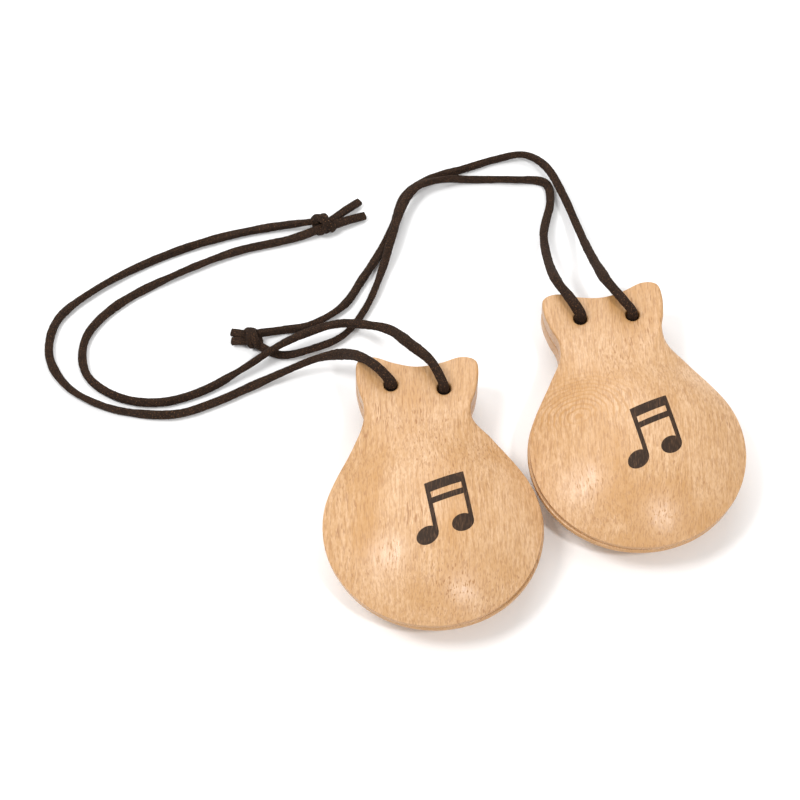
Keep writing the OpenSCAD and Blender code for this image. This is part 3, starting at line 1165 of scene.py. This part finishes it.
@dataclass
class NoteStamp:
    """Pair of beamed notes stamped on the upper shell, drawn from plain shapes.

    Fields:
        castanet: The castanet that it is on.
        finish: Its finish.
        middle: Its place in the castanet's own frame, in metres.
        size: Its size against the drawing.
        tilt: Its turn in degrees.
        lift: How far it stands off the wood, in metres.
        overlap: How much further each of its shapes stands off than the one before.
        thickness: Its thickness, in metres.
        heads: The middles of its note heads, in metres from its own middle.
        head_size: The two half widths of a note head.
        head_turn: The tilt of the note heads, in degrees.
        stems: The feet of its stems.
        stem_height: The length of a stem.
        stem_width: The width of a stem.
        beams: Its beams, each the height of its left end and its width.
        beam_ends: Where its beams start and end, from left to right.
        beam_rise: How much higher a beam's right end is.
    """

    castanet: Castanet
    finish: BurntMarkFinish
    middle: tuple[float, float] = (0.0032, 0.0004)
    size: float = 0.94
    tilt: float = 4.0
    lift: float = 0.00005
    overlap: float = 0.000006
    thickness: float = 0.00012
    heads: tuple[tuple[float, float], ...] = ((-0.0066, -0.0084), (0.0050, -0.0058))
    head_size: tuple[float, float] = (0.0037, 0.0027)
    head_turn: float = 24.0
    stems: tuple[tuple[float, float], ...] = ((-0.0037, -0.0078), (0.0079, -0.0052))
    stem_height: float = 0.0156
    stem_width: float = 0.0014
    beams: tuple[tuple[float, float], ...] = ((0.0072, 0.0034), (0.0024, 0.0020))
    beam_ends: tuple[float, float] = (-0.0044, 0.0086)
    beam_rise: float = 0.0030

    def bar(self, start: tuple[float, float], end: tuple[float, float], width: float) -> None:
        """Adds a straight bar, cut finely enough to follow the dome.

        Args:
            start: Middle of its one end, in metres from the stamp's middle.
            end: Middle of its other end.
            width: Its width, measured straight across for an upright bar and upright for
                a beam.
        """
        deselect_all()
        bpy.ops.mesh.primitive_grid_add(x_subdivisions=4, y_subdivisions=26, size=1.0)
        piece = bpy.context.object
        upright = abs(end[1] - start[1]) > abs(end[0] - start[0])
        a, b = Vector(start), Vector(end)
        for vert in piece.data.vertices:
            p = a.lerp(b, vert.co.y + 0.5)
            aside = vert.co.x * width
            vert.co = (p.x + aside, p.y, 0.0) if upright else (p.x, p.y + aside, 0.0)

    def head(self, centre: tuple[float, float]) -> None:
        """Adds an oval note head.

        Args:
            centre: Its middle, in metres from the stamp's middle.
        """
        deselect_all()
        bpy.ops.mesh.primitive_circle_add(vertices=64, radius=1.0, fill_type="NGON")
        piece = bpy.context.object
        bpy.ops.object.mode_set(mode="EDIT")
        bpy.ops.mesh.select_all(action="SELECT")
        for _ in range(4):
            bpy.ops.mesh.inset(thickness=0.2)
        bpy.ops.object.mode_set(mode="OBJECT")
        piece.scale = (*self.head_size, 1.0)
        settle(piece)
        piece.rotation_euler = (0.0, 0.0, math.radians(self.head_turn))
        piece.location = (*centre, 0.0)
        settle(piece)

    def build(self, shell: bpy.types.Object) -> bpy.types.Object:
        """Builds the stamp on a shell and rides it on the shell's body.

        Args:
            shell: The finished upper shell.

        Returns:
            The stamp.
        """
        before = set(bpy.data.objects)
        for centre in self.heads:
            self.head(centre)
        for x, foot in self.stems:
            self.bar((x, foot), (x, foot + self.stem_height), self.stem_width)
        start, end = self.beam_ends
        for height, width in self.beams:
            self.bar((start, height), (end, height + self.beam_rise), width)
        parts = [o for o in bpy.data.objects if o not in before]
        place = self.castanet.placing(Half.UPPER)
        own = (
            Matrix.Translation((*self.middle, 0.03))
            @ Matrix.Rotation(math.radians(self.tilt), 4, "Z")
            @ Matrix.Scale(self.size, 4)
        )
        for level, part in enumerate(parts):
            part.data.transform(place @ own)
            part.data.update()
            make_active(part)
            bpy.ops.object.mode_set(mode="EDIT")
            bpy.ops.mesh.select_all(action="SELECT")
            bpy.ops.mesh.normals_make_consistent(inside=False)
            bpy.ops.object.mode_set(mode="OBJECT")
            drop = part.modifiers.new("Drop", "SHRINKWRAP")
            drop.wrap_method = "PROJECT"
            drop.use_project_z = True
            drop.use_positive_direction = False
            drop.use_negative_direction = True
            drop.target = shell
            drop.offset = self.lift + level * self.overlap
            apply_modifier(part, drop)
        stamp = joined(parts, f"{self.castanet.side.value}_note_stamp")
        for face in stamp.data.polygons:
            if face.normal.z < 0:
                face.flip()
        body = stamp.modifiers.new("Body", "SOLIDIFY")
        body.thickness = self.thickness
        body.offset = -1.0
        apply_modifier(stamp, body)
        settle(stamp)
        smooth_shading(stamp, 40.0)
        dress(stamp, self.finish.build())
        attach(stamp, f"{self.castanet.side.value}_upper")
        LOG.info("%s: %d faces", stamp.name, len(stamp.data.polygons))
        return stamp


# ---------------------------------------------------------------- laces


@dataclass(frozen=True)
class LaceStrand:
    """A length of suede lace: a flat strip with rounded corners that twists as it goes.

    Fields:
        name: The piece's name.
        points: The points that its middle follows.
        width: Its wider side, in metres.
        thickness: Its narrower side, in metres.
        lay_angle: The turn of its wider side at the start, in degrees.
        twist: Its turn along the way, in degrees per metre.
        seed: Shifts its unevenness.
        spacing: The distance between its rings of points, in metres.
        sides: How many points a ring has.
        floor: The lowest that any of it may lie, in metres.
        swelling: How much fatter it is at its start.
        swollen: Where the swelling starts to fade and where it is gone, in metres.
    """

    name: str
    points: tuple[Point, ...]
    width: float = 0.0026
    thickness: float = 0.0021
    lay_angle: float = 0.0
    twist: float = 2600.0
    seed: float = 0.0
    spacing: float = 0.00045
    sides: int = 20
    floor: float = 0.00006
    swelling: float = 0.0
    swollen: tuple[float, float] = (0.016, 0.044)

    def line(self) -> list[Vector]:
        """Evenly spaced points along its middle."""
        return smooth_line([Vector(p) for p in self.points], self.spacing)

    def section(self, side: int) -> Vector:
        """Point of its cross-section, as a part of its half width and half thickness.

        Args:
            side: Which point, counted round from the right.

        Returns:
            The point, on a square with rounded corners.
        """
        turn = math.tau * side / self.sides
        c, s = math.cos(turn), math.sin(turn)
        swell = (abs(c) ** 3.6 + abs(s) ** 3.6) ** (-1.0 / 3.6)
        return Vector((c * swell, s * swell))

    def build(self, material: bpy.types.Material) -> bpy.types.Object:
        """Sweeps the cross-section along the line.

        Args:
            material: The suede that it is made of.

        Returns:
            The strand, with UV coordinates in metres round it and along it.
        """
        mesh = bmesh.new()
        layer = mesh.loops.layers.uv.new("UVMap")
        rings = [([mesh.verts.new(p) for p in ring], reach) for ring, reach in self.rings()]
        girth = 2.0 * (self.width + self.thickness)
        for (ring, low), (after, high) in zip(rings, rings[1:]):
            for k in range(self.sides):
                n = (k + 1) % self.sides
                face = mesh.faces.new((ring[k], ring[n], after[n], after[k]))
                u, v = girth * k / self.sides, girth * (k + 1) / self.sides
                for loop, place in zip(face.loops, ((u, low), (v, low), (v, high), (u, high))):
                    loop[layer].uv = place
        for ring, reach in (rings[0], rings[-1]):
            self.close_end(mesh, layer, ring, reach)
        bmesh.ops.recalc_face_normals(mesh, faces=mesh.faces)
        data = bpy.data.meshes.new(self.name)
        mesh.to_mesh(data)
        mesh.free()
        piece = bpy.data.objects.new(self.name, data)
        bpy.context.scene.collection.objects.link(piece)
        smooth_shading(piece, 40.0)
        dress(piece, material)
        return piece

    def rings(self) -> list[tuple[list[Vector], float]]:
        """Places the cross-section all along the line, uneven as cut suede is.

        Returns:
            Rings of points, each with its distance along the strand.
        """
        line = self.line()
        up = Vector((0.0, 0.0, 1.0))
        along = (line[1] - line[0]).normalized()
        if abs(along.dot(up)) > 0.9:
            up = Vector((0.0, 1.0, 0.0))
        side = along.cross(up).normalized()
        rings, reach = [], 0.0
        for i, p in enumerate(line):
            ahead = (line[min(i + 1, len(line) - 1)] - line[max(i - 1, 0)]).normalized()
            side = (side - ahead * side.dot(ahead)).normalized()
            rise = side.cross(ahead).normalized()
            reach += (p - line[i - 1]).length if i else 0.0
            wobble = noise.noise(Vector((reach * 55.0, self.seed, 0.0)))
            turn = math.radians(self.lay_angle + self.twist * reach + 55.0 * wobble)
            fat = 1.0 + 0.10 * noise.noise(Vector((reach * 170.0, self.seed, 4.0)))
            fat += self.swelling * (1.0 - ease(reach, *self.swollen))
            ring = []
            for k in range(self.sides):
                q = self.section(k)
                rough = 1.0 + 0.07 * noise.noise(Vector((reach * 900.0, k * 0.9, self.seed)))
                x = q.x * self.width / 2 * fat * rough
                y = q.y * self.thickness / 2 * fat * rough
                x, y = (
                    x * math.cos(turn) - y * math.sin(turn),
                    x * math.sin(turn) + y * math.cos(turn),
                )
                spot = p + side * x + rise * y
                spot.z = max(self.floor, spot.z)
                ring.append(spot)
            rings.append((ring, reach))
        return rings

    def close_end(
        self,
        mesh: bmesh.types.BMesh,
        layer: bmesh.types.BMLayerItem,
        ring: Sequence[bmesh.types.BMVert],
        reach: float,
    ) -> None:
        """Closes an end with a flat cut face.

        Args:
            mesh: The strand's mesh.
            layer: Its UV layer.
            ring: The ring at the end.
            reach: How far along the strand the ring is, in metres.
        """
        middle = sum((v.co for v in ring), Vector()) / self.sides
        inner = [mesh.verts.new(v.co.lerp(middle, 0.12)) for v in ring]
        hub = mesh.verts.new(middle)
        for k in range(self.sides):
            n = (k + 1) % self.sides
            for corners in ((ring[k], inner[k], inner[n], ring[n]), (inner[k], hub, inner[n])):
                for loop in mesh.faces.new(corners).loops:
                    away = loop.vert.co - middle
                    loop[layer].uv = (away.length + reach, away.x + away.y)


@dataclass
class Lace:
    """The lace of one castanet: through both pairs of ears and out to an overhand knot.

    Fields:
        castanet: The castanet that it ties together.
        legs: The routes of its two free legs on the table, in millimetres.
        lengths: The legs' lengths, in metres; not used.
        knot: The middle of the knot, in millimetres.
        knot_axis: The direction in which the lace goes through the knot.
        knot_size: The length of the knot, in metres.
        tails: The routes of its two cut ends, in millimetres.
        finish: Its suede.
        exit_height: How far above the plane between the shells the legs start, in metres.
        diameter: Its diameter, in metres; not used.
        strands: Its legs, once they are built.
    """

    castanet: Castanet
    legs: tuple[Route, Route]
    lengths: tuple[float, float]
    knot: Point
    knot_axis: Point
    knot_size: float
    tails: tuple[Route, Route]
    finish: SuedeFinish
    exit_height: float = 0.0059
    diameter: float = 0.0028
    strands: list[LaceStrand] = field(default_factory=list)

    def leg_points(self, index: int) -> Route:
        """Points of a leg, from inside its hole to the middle of the knot.

        Args:
            index: 0 for the leg from the hole on the left, 1 for the other.

        Returns:
            The points in metres.
        """
        sign = -1 if index == 0 else 1
        start = self.castanet.hole(sign, self.exit_height)
        first = Vector(self.legs[index][0]) * MM
        rise = start + Vector((0.0, 0.0, 0.0019)) + 0.10 * (first - start)
        rest = [Vector(p) * MM for p in self.legs[index]]
        middle = Vector(self.knot) * MM
        rest[-1] = rest[-1].lerp(middle, 0.35)
        inside = rest[-1].lerp(middle, 0.75)
        return tuple(tuple(p) for p in (start, rise, *rest, inside))

    def build_legs(self, suede: bpy.types.Material) -> list[bpy.types.Object]:
        """Builds the two free legs.

        Args:
            suede: The material.

        Returns:
            The two legs.
        """
        side = self.castanet.side.value
        self.strands = [
            LaceStrand(
                f"{side}_lace_leg_{i + 1}_suede",
                self.leg_points(i),
                lay_angle=20.0 + 70.0 * i,
                twist=2400.0 if i == 0 else -2000.0,
                seed=3.1 * i + (0.0 if side == "left" else 7.7),
                swelling=0.34,
            )
            for i in range(2)
        ]
        return [strand.build(suede) for strand in self.strands]

    def build_knot(self, suede: bpy.types.Material) -> bpy.types.Object:
        """Builds the overhand knot from two turns of lace and a strand that crosses them.

        Args:
            suede: The material.

        Returns:
            The knot.
        """
        side = self.castanet.side.value
        along = Vector(self.knot_axis).normalized()
        up = Vector((0.0, 0.0, 1.0))
        across = up.cross(along).normalized()
        middle = Vector(self.knot) * MM + Vector((0.0, 0.0, 0.0003))
        size = self.knot_size

        def spot(u: float, v: float, w: float) -> Point:
            """Place in the knot from its own directions, in parts of its size."""
            return tuple(middle + (along * u + up * v + across * w) * size)

        wraps = []
        for k in range(25):
            t = k / 24
            turn = math.tau * (1.75 * t + 0.12)
            reach = 0.34 - 0.20 * (ease(0.10 - t, 0.0, 0.10) + ease(t - 0.90, 0.0, 0.10))
            lean = 0.17 * math.cos(turn)
            wraps.append(
                spot(-0.24 + 0.48 * t + lean, reach * math.cos(turn), reach * math.sin(turn))
            )
        bight = []
        for k in range(13):
            t = k / 12
            turn = math.pi * (t - 0.5) * 1.25
            bight.append(
                spot(-0.42 + 0.84 * t, 0.42 * math.cos(turn), 0.40 * math.sin(turn) * -1.0)
            )
        pieces = [
            LaceStrand(
                f"{side}_knot_wraps",
                tuple(wraps),
                width=0.0024,
                thickness=0.0020,
                lay_angle=90.0,
                twist=900.0,
                seed=1.3,
                spacing=0.00035,
            ).build(suede),
            LaceStrand(
                f"{side}_knot_bight",
                tuple(bight),
                width=0.0024,
                thickness=0.0018,
                twist=1800.0,
                seed=5.3,
                spacing=0.00035,
            ).build(suede),
        ]
        return joined(pieces, f"{side}_lace_knot_suede")

    def build_tails(self, suede: bpy.types.Material) -> bpy.types.Object:
        """Builds the two cut ends of the lace beyond the knot.

        Args:
            suede: The material.

        Returns:
            The two tails, as one piece.
        """
        side = self.castanet.side.value
        pieces = []
        for i, tail in enumerate(self.tails):
            points = [Vector(self.knot).lerp(Vector(tail[0]), 0.4), *(Vector(p) for p in tail)]
            points.insert(2, points[1].lerp(points[2], 0.5) + Vector((0.0, 0.0, 0.25)))
            pieces.append(
                LaceStrand(
                    f"{side}_tail_{i + 1}",
                    tuple(tuple(p * MM) for p in points),
                    thickness=0.0017,
                    lay_angle=6.0 - 14.0 * i,
                    twist=500.0,
                    seed=9.3 + i,
                    spacing=0.0004,
                ).build(suede)
            )
        return joined(pieces, f"{side}_lace_tails_suede")

    def build_in_ears(self, suede: bpy.types.Material) -> None:
        """Builds the stretches of lace inside the upper and the lower ears.

        Args:
            suede: The material.
        """
        castanet, side = self.castanet, self.castanet.side.value
        low, run = 0.35 * MM, -7.4 * MM
        uppers = []
        for sign in (-1, 1):
            points = [castanet.hole(sign, low + (6.2 * MM - low) * k / 4) for k in range(5)]
            uppers.append(
                LaceStrand(
                    f"{side}_in_upper_{sign}",
                    tuple(tuple(p) for p in points),
                    width=0.0029,
                    thickness=0.0023,
                    lay_angle=30.0,
                    twist=1500.0,
                    seed=sign * 2.0,
                    spacing=0.0005,
                ).build(suede)
            )
        upper = joined(uppers, f"{side}_lace_in_upper_ears_suede")
        left, right = (castanet.hole(sign, 0.0) for sign in (-1, 1))
        inward = (right - left).normalized()
        path = [
            (left, 0.0, -low),
            (left, 0.0, -3.0 * MM),
            (left, 0.0, -5.6 * MM),
            (left, 0.5 * MM, run + 0.65 * MM),
            (left, 1.8 * MM, run),
            (left, 5.0 * MM, run),
            (right, -5.0 * MM, run),
            (right, -1.8 * MM, run),
            (right, -0.5 * MM, run + 0.65 * MM),
            (right, 0.0, -5.6 * MM),
            (right, 0.0, -3.0 * MM),
            (right, 0.0, -low),
        ]
        lower = LaceStrand(
            f"{side}_lace_in_lower_ears_suede",
            tuple(
                tuple(base + inward * shift + Vector((0.0, 0.0, height)))
                for base, shift, height in path
            ),
            width=0.0028,
            thickness=0.0023,
            twist=900.0,
            seed=4.4,
            spacing=0.0004,
        ).build(suede)
        for piece, half in ((upper, "upper"), (lower, "lower")):
            stand_for(piece, f"{side}_lace_in_{half}_ears", f"{side}_{half}")

    def build(self) -> None:
        """Builds the whole lace."""
        side = self.castanet.side.value
        suede = self.finish.build()
        legs = self.build_legs(suede)
        knot = self.build_knot(suede)
        tails = self.build_tails(suede)
        for piece, node in ((knot, "knot"), (tails, "tails")):
            stand_for(piece, f"{side}_lace_{node}", f"{side}_lower")
        for i, leg in enumerate(legs):
            line = self.strands[i].line()
            top = line[0].copy()
            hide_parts(f"{side}_lace_leg_{i + 1}")
            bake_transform(leg)
            LOG.info("%s: %.1f mm long", leg.name, line_length(line) * 1000)
        self.build_in_ears(suede)


# ---------------------------------------------------------------- surroundings


@dataclass(frozen=True)
class Studio:
    """White table, soft lights and the camera.

    Fields:
        aim: The place that the camera looks at, in metres.
        elevation: The camera's height above the table, in degrees.
        distance: The camera's distance, in metres.
        lens: The camera's focal length, in millimetres.
        table_size: The table's width, in metres.
        air: The strength of the light from all round.
        lights: The soft lights, each a name, a direction, a width and a power.
        light_distance: How far away the soft lights hang, in metres.
    """

    aim: Point = (-0.0402, 0.0257, 0.0)
    elevation: float = 60.0
    distance: float = 0.8
    lens: float = 117.0
    table_size: float = 8.0
    air: float = 0.58
    lights: tuple[tuple[str, Point, float, float], ...] = (
        ("key_left", (-0.50, -0.03, 0.87), 0.50, 10.0),
        ("back_fill", (-0.10, 0.62, 0.75), 1.40, 9.0),
        ("front_right", (0.31, -0.39, 0.84), 0.14, 6.6),
    )
    light_distance: float = 1.5

    def place_camera(self) -> None:
        """Creates the camera and makes it the scene's."""
        data = bpy.data.cameras.new("studio_camera")
        data.lens = self.lens
        data.sensor_width = 36.0
        data.clip_start = 0.02
        camera = bpy.data.objects.new("studio_camera", data)
        bpy.context.scene.collection.objects.link(camera)
        rise = math.radians(self.elevation)
        back = Vector((0.0, -math.cos(rise), math.sin(rise))) * self.distance
        camera.location = Vector(self.aim) + back
        camera.rotation_euler = (math.pi / 2 - rise, 0.0, 0.0)
        bpy.context.scene.camera = camera

    def lay_table(self) -> None:
        """Lays the white table, with its edges rolled down out of sight."""
        deselect_all()
        bpy.ops.mesh.primitive_grid_add(
            x_subdivisions=24, y_subdivisions=24, size=self.table_size, location=(0, 0, 0)
        )
        table = named(bpy.context.object, "table_top")
        for vert in table.data.vertices:
            edge = max(abs(vert.co.x), abs(vert.co.y)) / (self.table_size / 2)
            vert.co.z = -0.05 * ease(edge, 0.9, 1.0)
        settle(table)
        smooth_shading(table, 40.0)
        dress(table, TableFinish().build())

    def soft_light(self, name: str, direction: Point, size: float, power: float) -> None:
        """Hangs a round soft light that faces the castanets.

        Args:
            name: The light's name.
            direction: Where it hangs, as seen from the castanets.
            size: Its width in metres.
            power: Its power in watts.
        """
        data = bpy.data.lights.new(name, "AREA")
        data.shape = "DISK"
        data.size = size
        data.energy = power
        light = bpy.data.objects.new(name, data)
        bpy.context.scene.collection.objects.link(light)
        away = Vector(direction).normalized()
        light.location = away * self.light_distance
        light.rotation_euler = away.to_track_quat("Z", "Y").to_euler()

    def light(self) -> None:
        """Lights the scene softly from above, with no tint."""
        world = bpy.data.worlds.new("studio_air")
        world.use_nodes = True
        background = world.node_tree.nodes["Background"]
        background.inputs["Color"].default_value = (1.0, 1.0, 1.0, 1.0)
        background.inputs["Strength"].default_value = self.air
        bpy.context.scene.world = world
        for name, direction, size, power in self.lights:
            self.soft_light(name, direction, size, power)
        view = bpy.context.scene.view_settings
        view.view_transform = "Standard"
        view.look = "None"
        view.exposure = 0.0


# ---------------------------------------------------------------- the pair


def make_castanets() -> tuple[Castanet, Castanet]:
    """Sets out the left and the right castanet.

    Returns:
        The two castanets, not yet built.
    """
    left_place, right_place = (-0.0301, -0.0251, 0.0), (0.0301, -0.0001, 0.0)
    left = Castanet(
        Side.LEFT,
        left_place,
        yaw=7.5,
        skew=-6.5,
        slip=-0.8,
        woods=(
            WoodFinish("left_lower_wood", left_place, 1.0, (1.0, 0.02, 0.25), seed=0.31),
            WoodFinish("left_upper_wood", left_place, 1.0, (1.0, 0.03, -0.22), seed=0.17),
        ),
    )
    right = Castanet(
        Side.RIGHT,
        right_place,
        yaw=9.5,
        skew=-1.0,
        slip=0.8,
        woods=(
            WoodFinish("right_lower_wood", right_place, 1.0, (1.0, -0.03, 0.3), seed=0.53),
            WoodFinish(
                "right_upper_wood",
                right_place,
                1.0,
                (0.8, 0.05, -0.6),
                ring_gap=0.0021,
                ring_shade=0.34,
                seed=0.71,
                figure=(-0.0172, 0.0080, 0.0180),
                figure_shade=1.0,
            ),
        ),
    )
    return left, right


def make_laces(left: Castanet, right: Castanet) -> tuple[Lace, Lace]:
    """Sets out the two laces, with their routes in millimetres on the table.

    Args:
        left: The left castanet.
        right: The right castanet.

    Returns:
        The two laces, not yet built.
    """
    left_lace = Lace(
        left,
        legs=(
            (
                (-47, 24, 22.6), (-52, 29, 20.3), (-58, 34, 13.5), (-66, 36, 7.5),
                (-76, 34, 3), (-87, 29, 1.7), (-97, 24, 1.5), (-108, 20, 1.5),
                (-120, 20, 1.5), (-132, 23, 1.5), (-143, 30, 1.5), (-149, 41, 1.5),
                (-147, 54, 1.5), (-136, 65, 1.5), (-120, 75, 1.5), (-102, 83, 1.5),
                (-84, 88, 1.5), (-66, 91, 2.6),
            ),
            (
                (-31, 26, 23), (-37, 33, 21), (-43, 41, 16), (-50, 46, 11),
                (-59, 49, 7), (-68, 47, 5.6), (-78, 42, 5), (-89, 35, 2.8),
                (-101, 28, 1.5), (-114, 24, 1.5), (-127, 26, 1.5), (-137, 34, 1.5),
                (-138, 47, 1.5), (-129, 59, 1.5), (-112, 70, 1.5), (-93, 79, 1.5),
                (-75, 84, 1.5), (-65, 87, 2.6),
            ),
        ),
        lengths=(0.240, 0.240),
        knot=(-64.8, 88.6, 2.9),
        knot_axis=(1.0, 0.42, 0.0),
        knot_size=0.0062,
        tails=(
            ((-62.2, 90.2, 2.9), (-53.2, 98.4, 1.5)),
            ((-61.6, 88.6, 2.7), (-51.4, 93.0, 1.4)),
        ),
        finish=SuedeFinish("left_suede", 0.13),
    )
    right_lace = Lace(
        right,
        legs=(
            (
                (12, 48, 22.4), (8, 57, 19), (6, 70, 11), (5.4, 84, 5),
                (8, 98, 2.2), (6.3, 105.8, 1.5), (-4, 107, 1.5), (-16, 107, 1.5),
                (-26, 106, 3), (-35, 102, 4.5), (-40, 93, 4.5), (-43, 82, 4.5),
                (-46, 71, 2.8), (-51, 58, 1.5), (-58, 48, 1.5), (-68, 43, 1.5),
                (-77, 41, 1.5), (-84, 43, 2.6),
            ),
            (
                (27, 49, 22.6), (22.5, 59, 18.5), (19, 73, 11), (16, 86, 6),
                (12, 99, 4.6), (7, 110, 4.2), (0, 116, 2.6), (-9, 115, 1.5),
                (-20, 111, 1.5), (-31, 107, 1.5), (-39, 100, 1.5), (-42, 90, 1.5),
                (-46, 80, 1.5), (-52, 69, 1.5), (-58, 59, 1.5), (-68, 52, 1.5),
                (-77, 50, 1.5), (-84, 49, 2.6),
            ),
        ),
        lengths=(0.205, 0.206),
        knot=(-85.8, 46, 2.9),
        knot_axis=(-1.0, 0.12, 0.0),
        knot_size=0.0060,
        tails=(
            ((-88.2, 47.4, 3.0), (-92.6, 48.7, 2.2)),
            ((-88.2, 45.6, 2.4), (-92.4, 46.0, 1.4)),
        ),
        finish=SuedeFinish("right_suede", 0.47),
    )
    return left_lace, right_lace


def main() -> None:
    """Builds the scene in order: camera, laces, castanets, stamps, table and light."""
    logging.basicConfig(level=logging.INFO, format="%(name)s %(message)s")
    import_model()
    studio = Studio()
    studio.place_camera()
    castanets = make_castanets()
    for lace in make_laces(*castanets):
        lace.build()
    for castanet in castanets:
        shells = castanet.build()
        NoteStamp(castanet, BurntMarkFinish()).build(shells[Half.UPPER])
    studio.lay_table()
    studio.light()
    deselect_all()


if __name__ == "__main__":
    main()
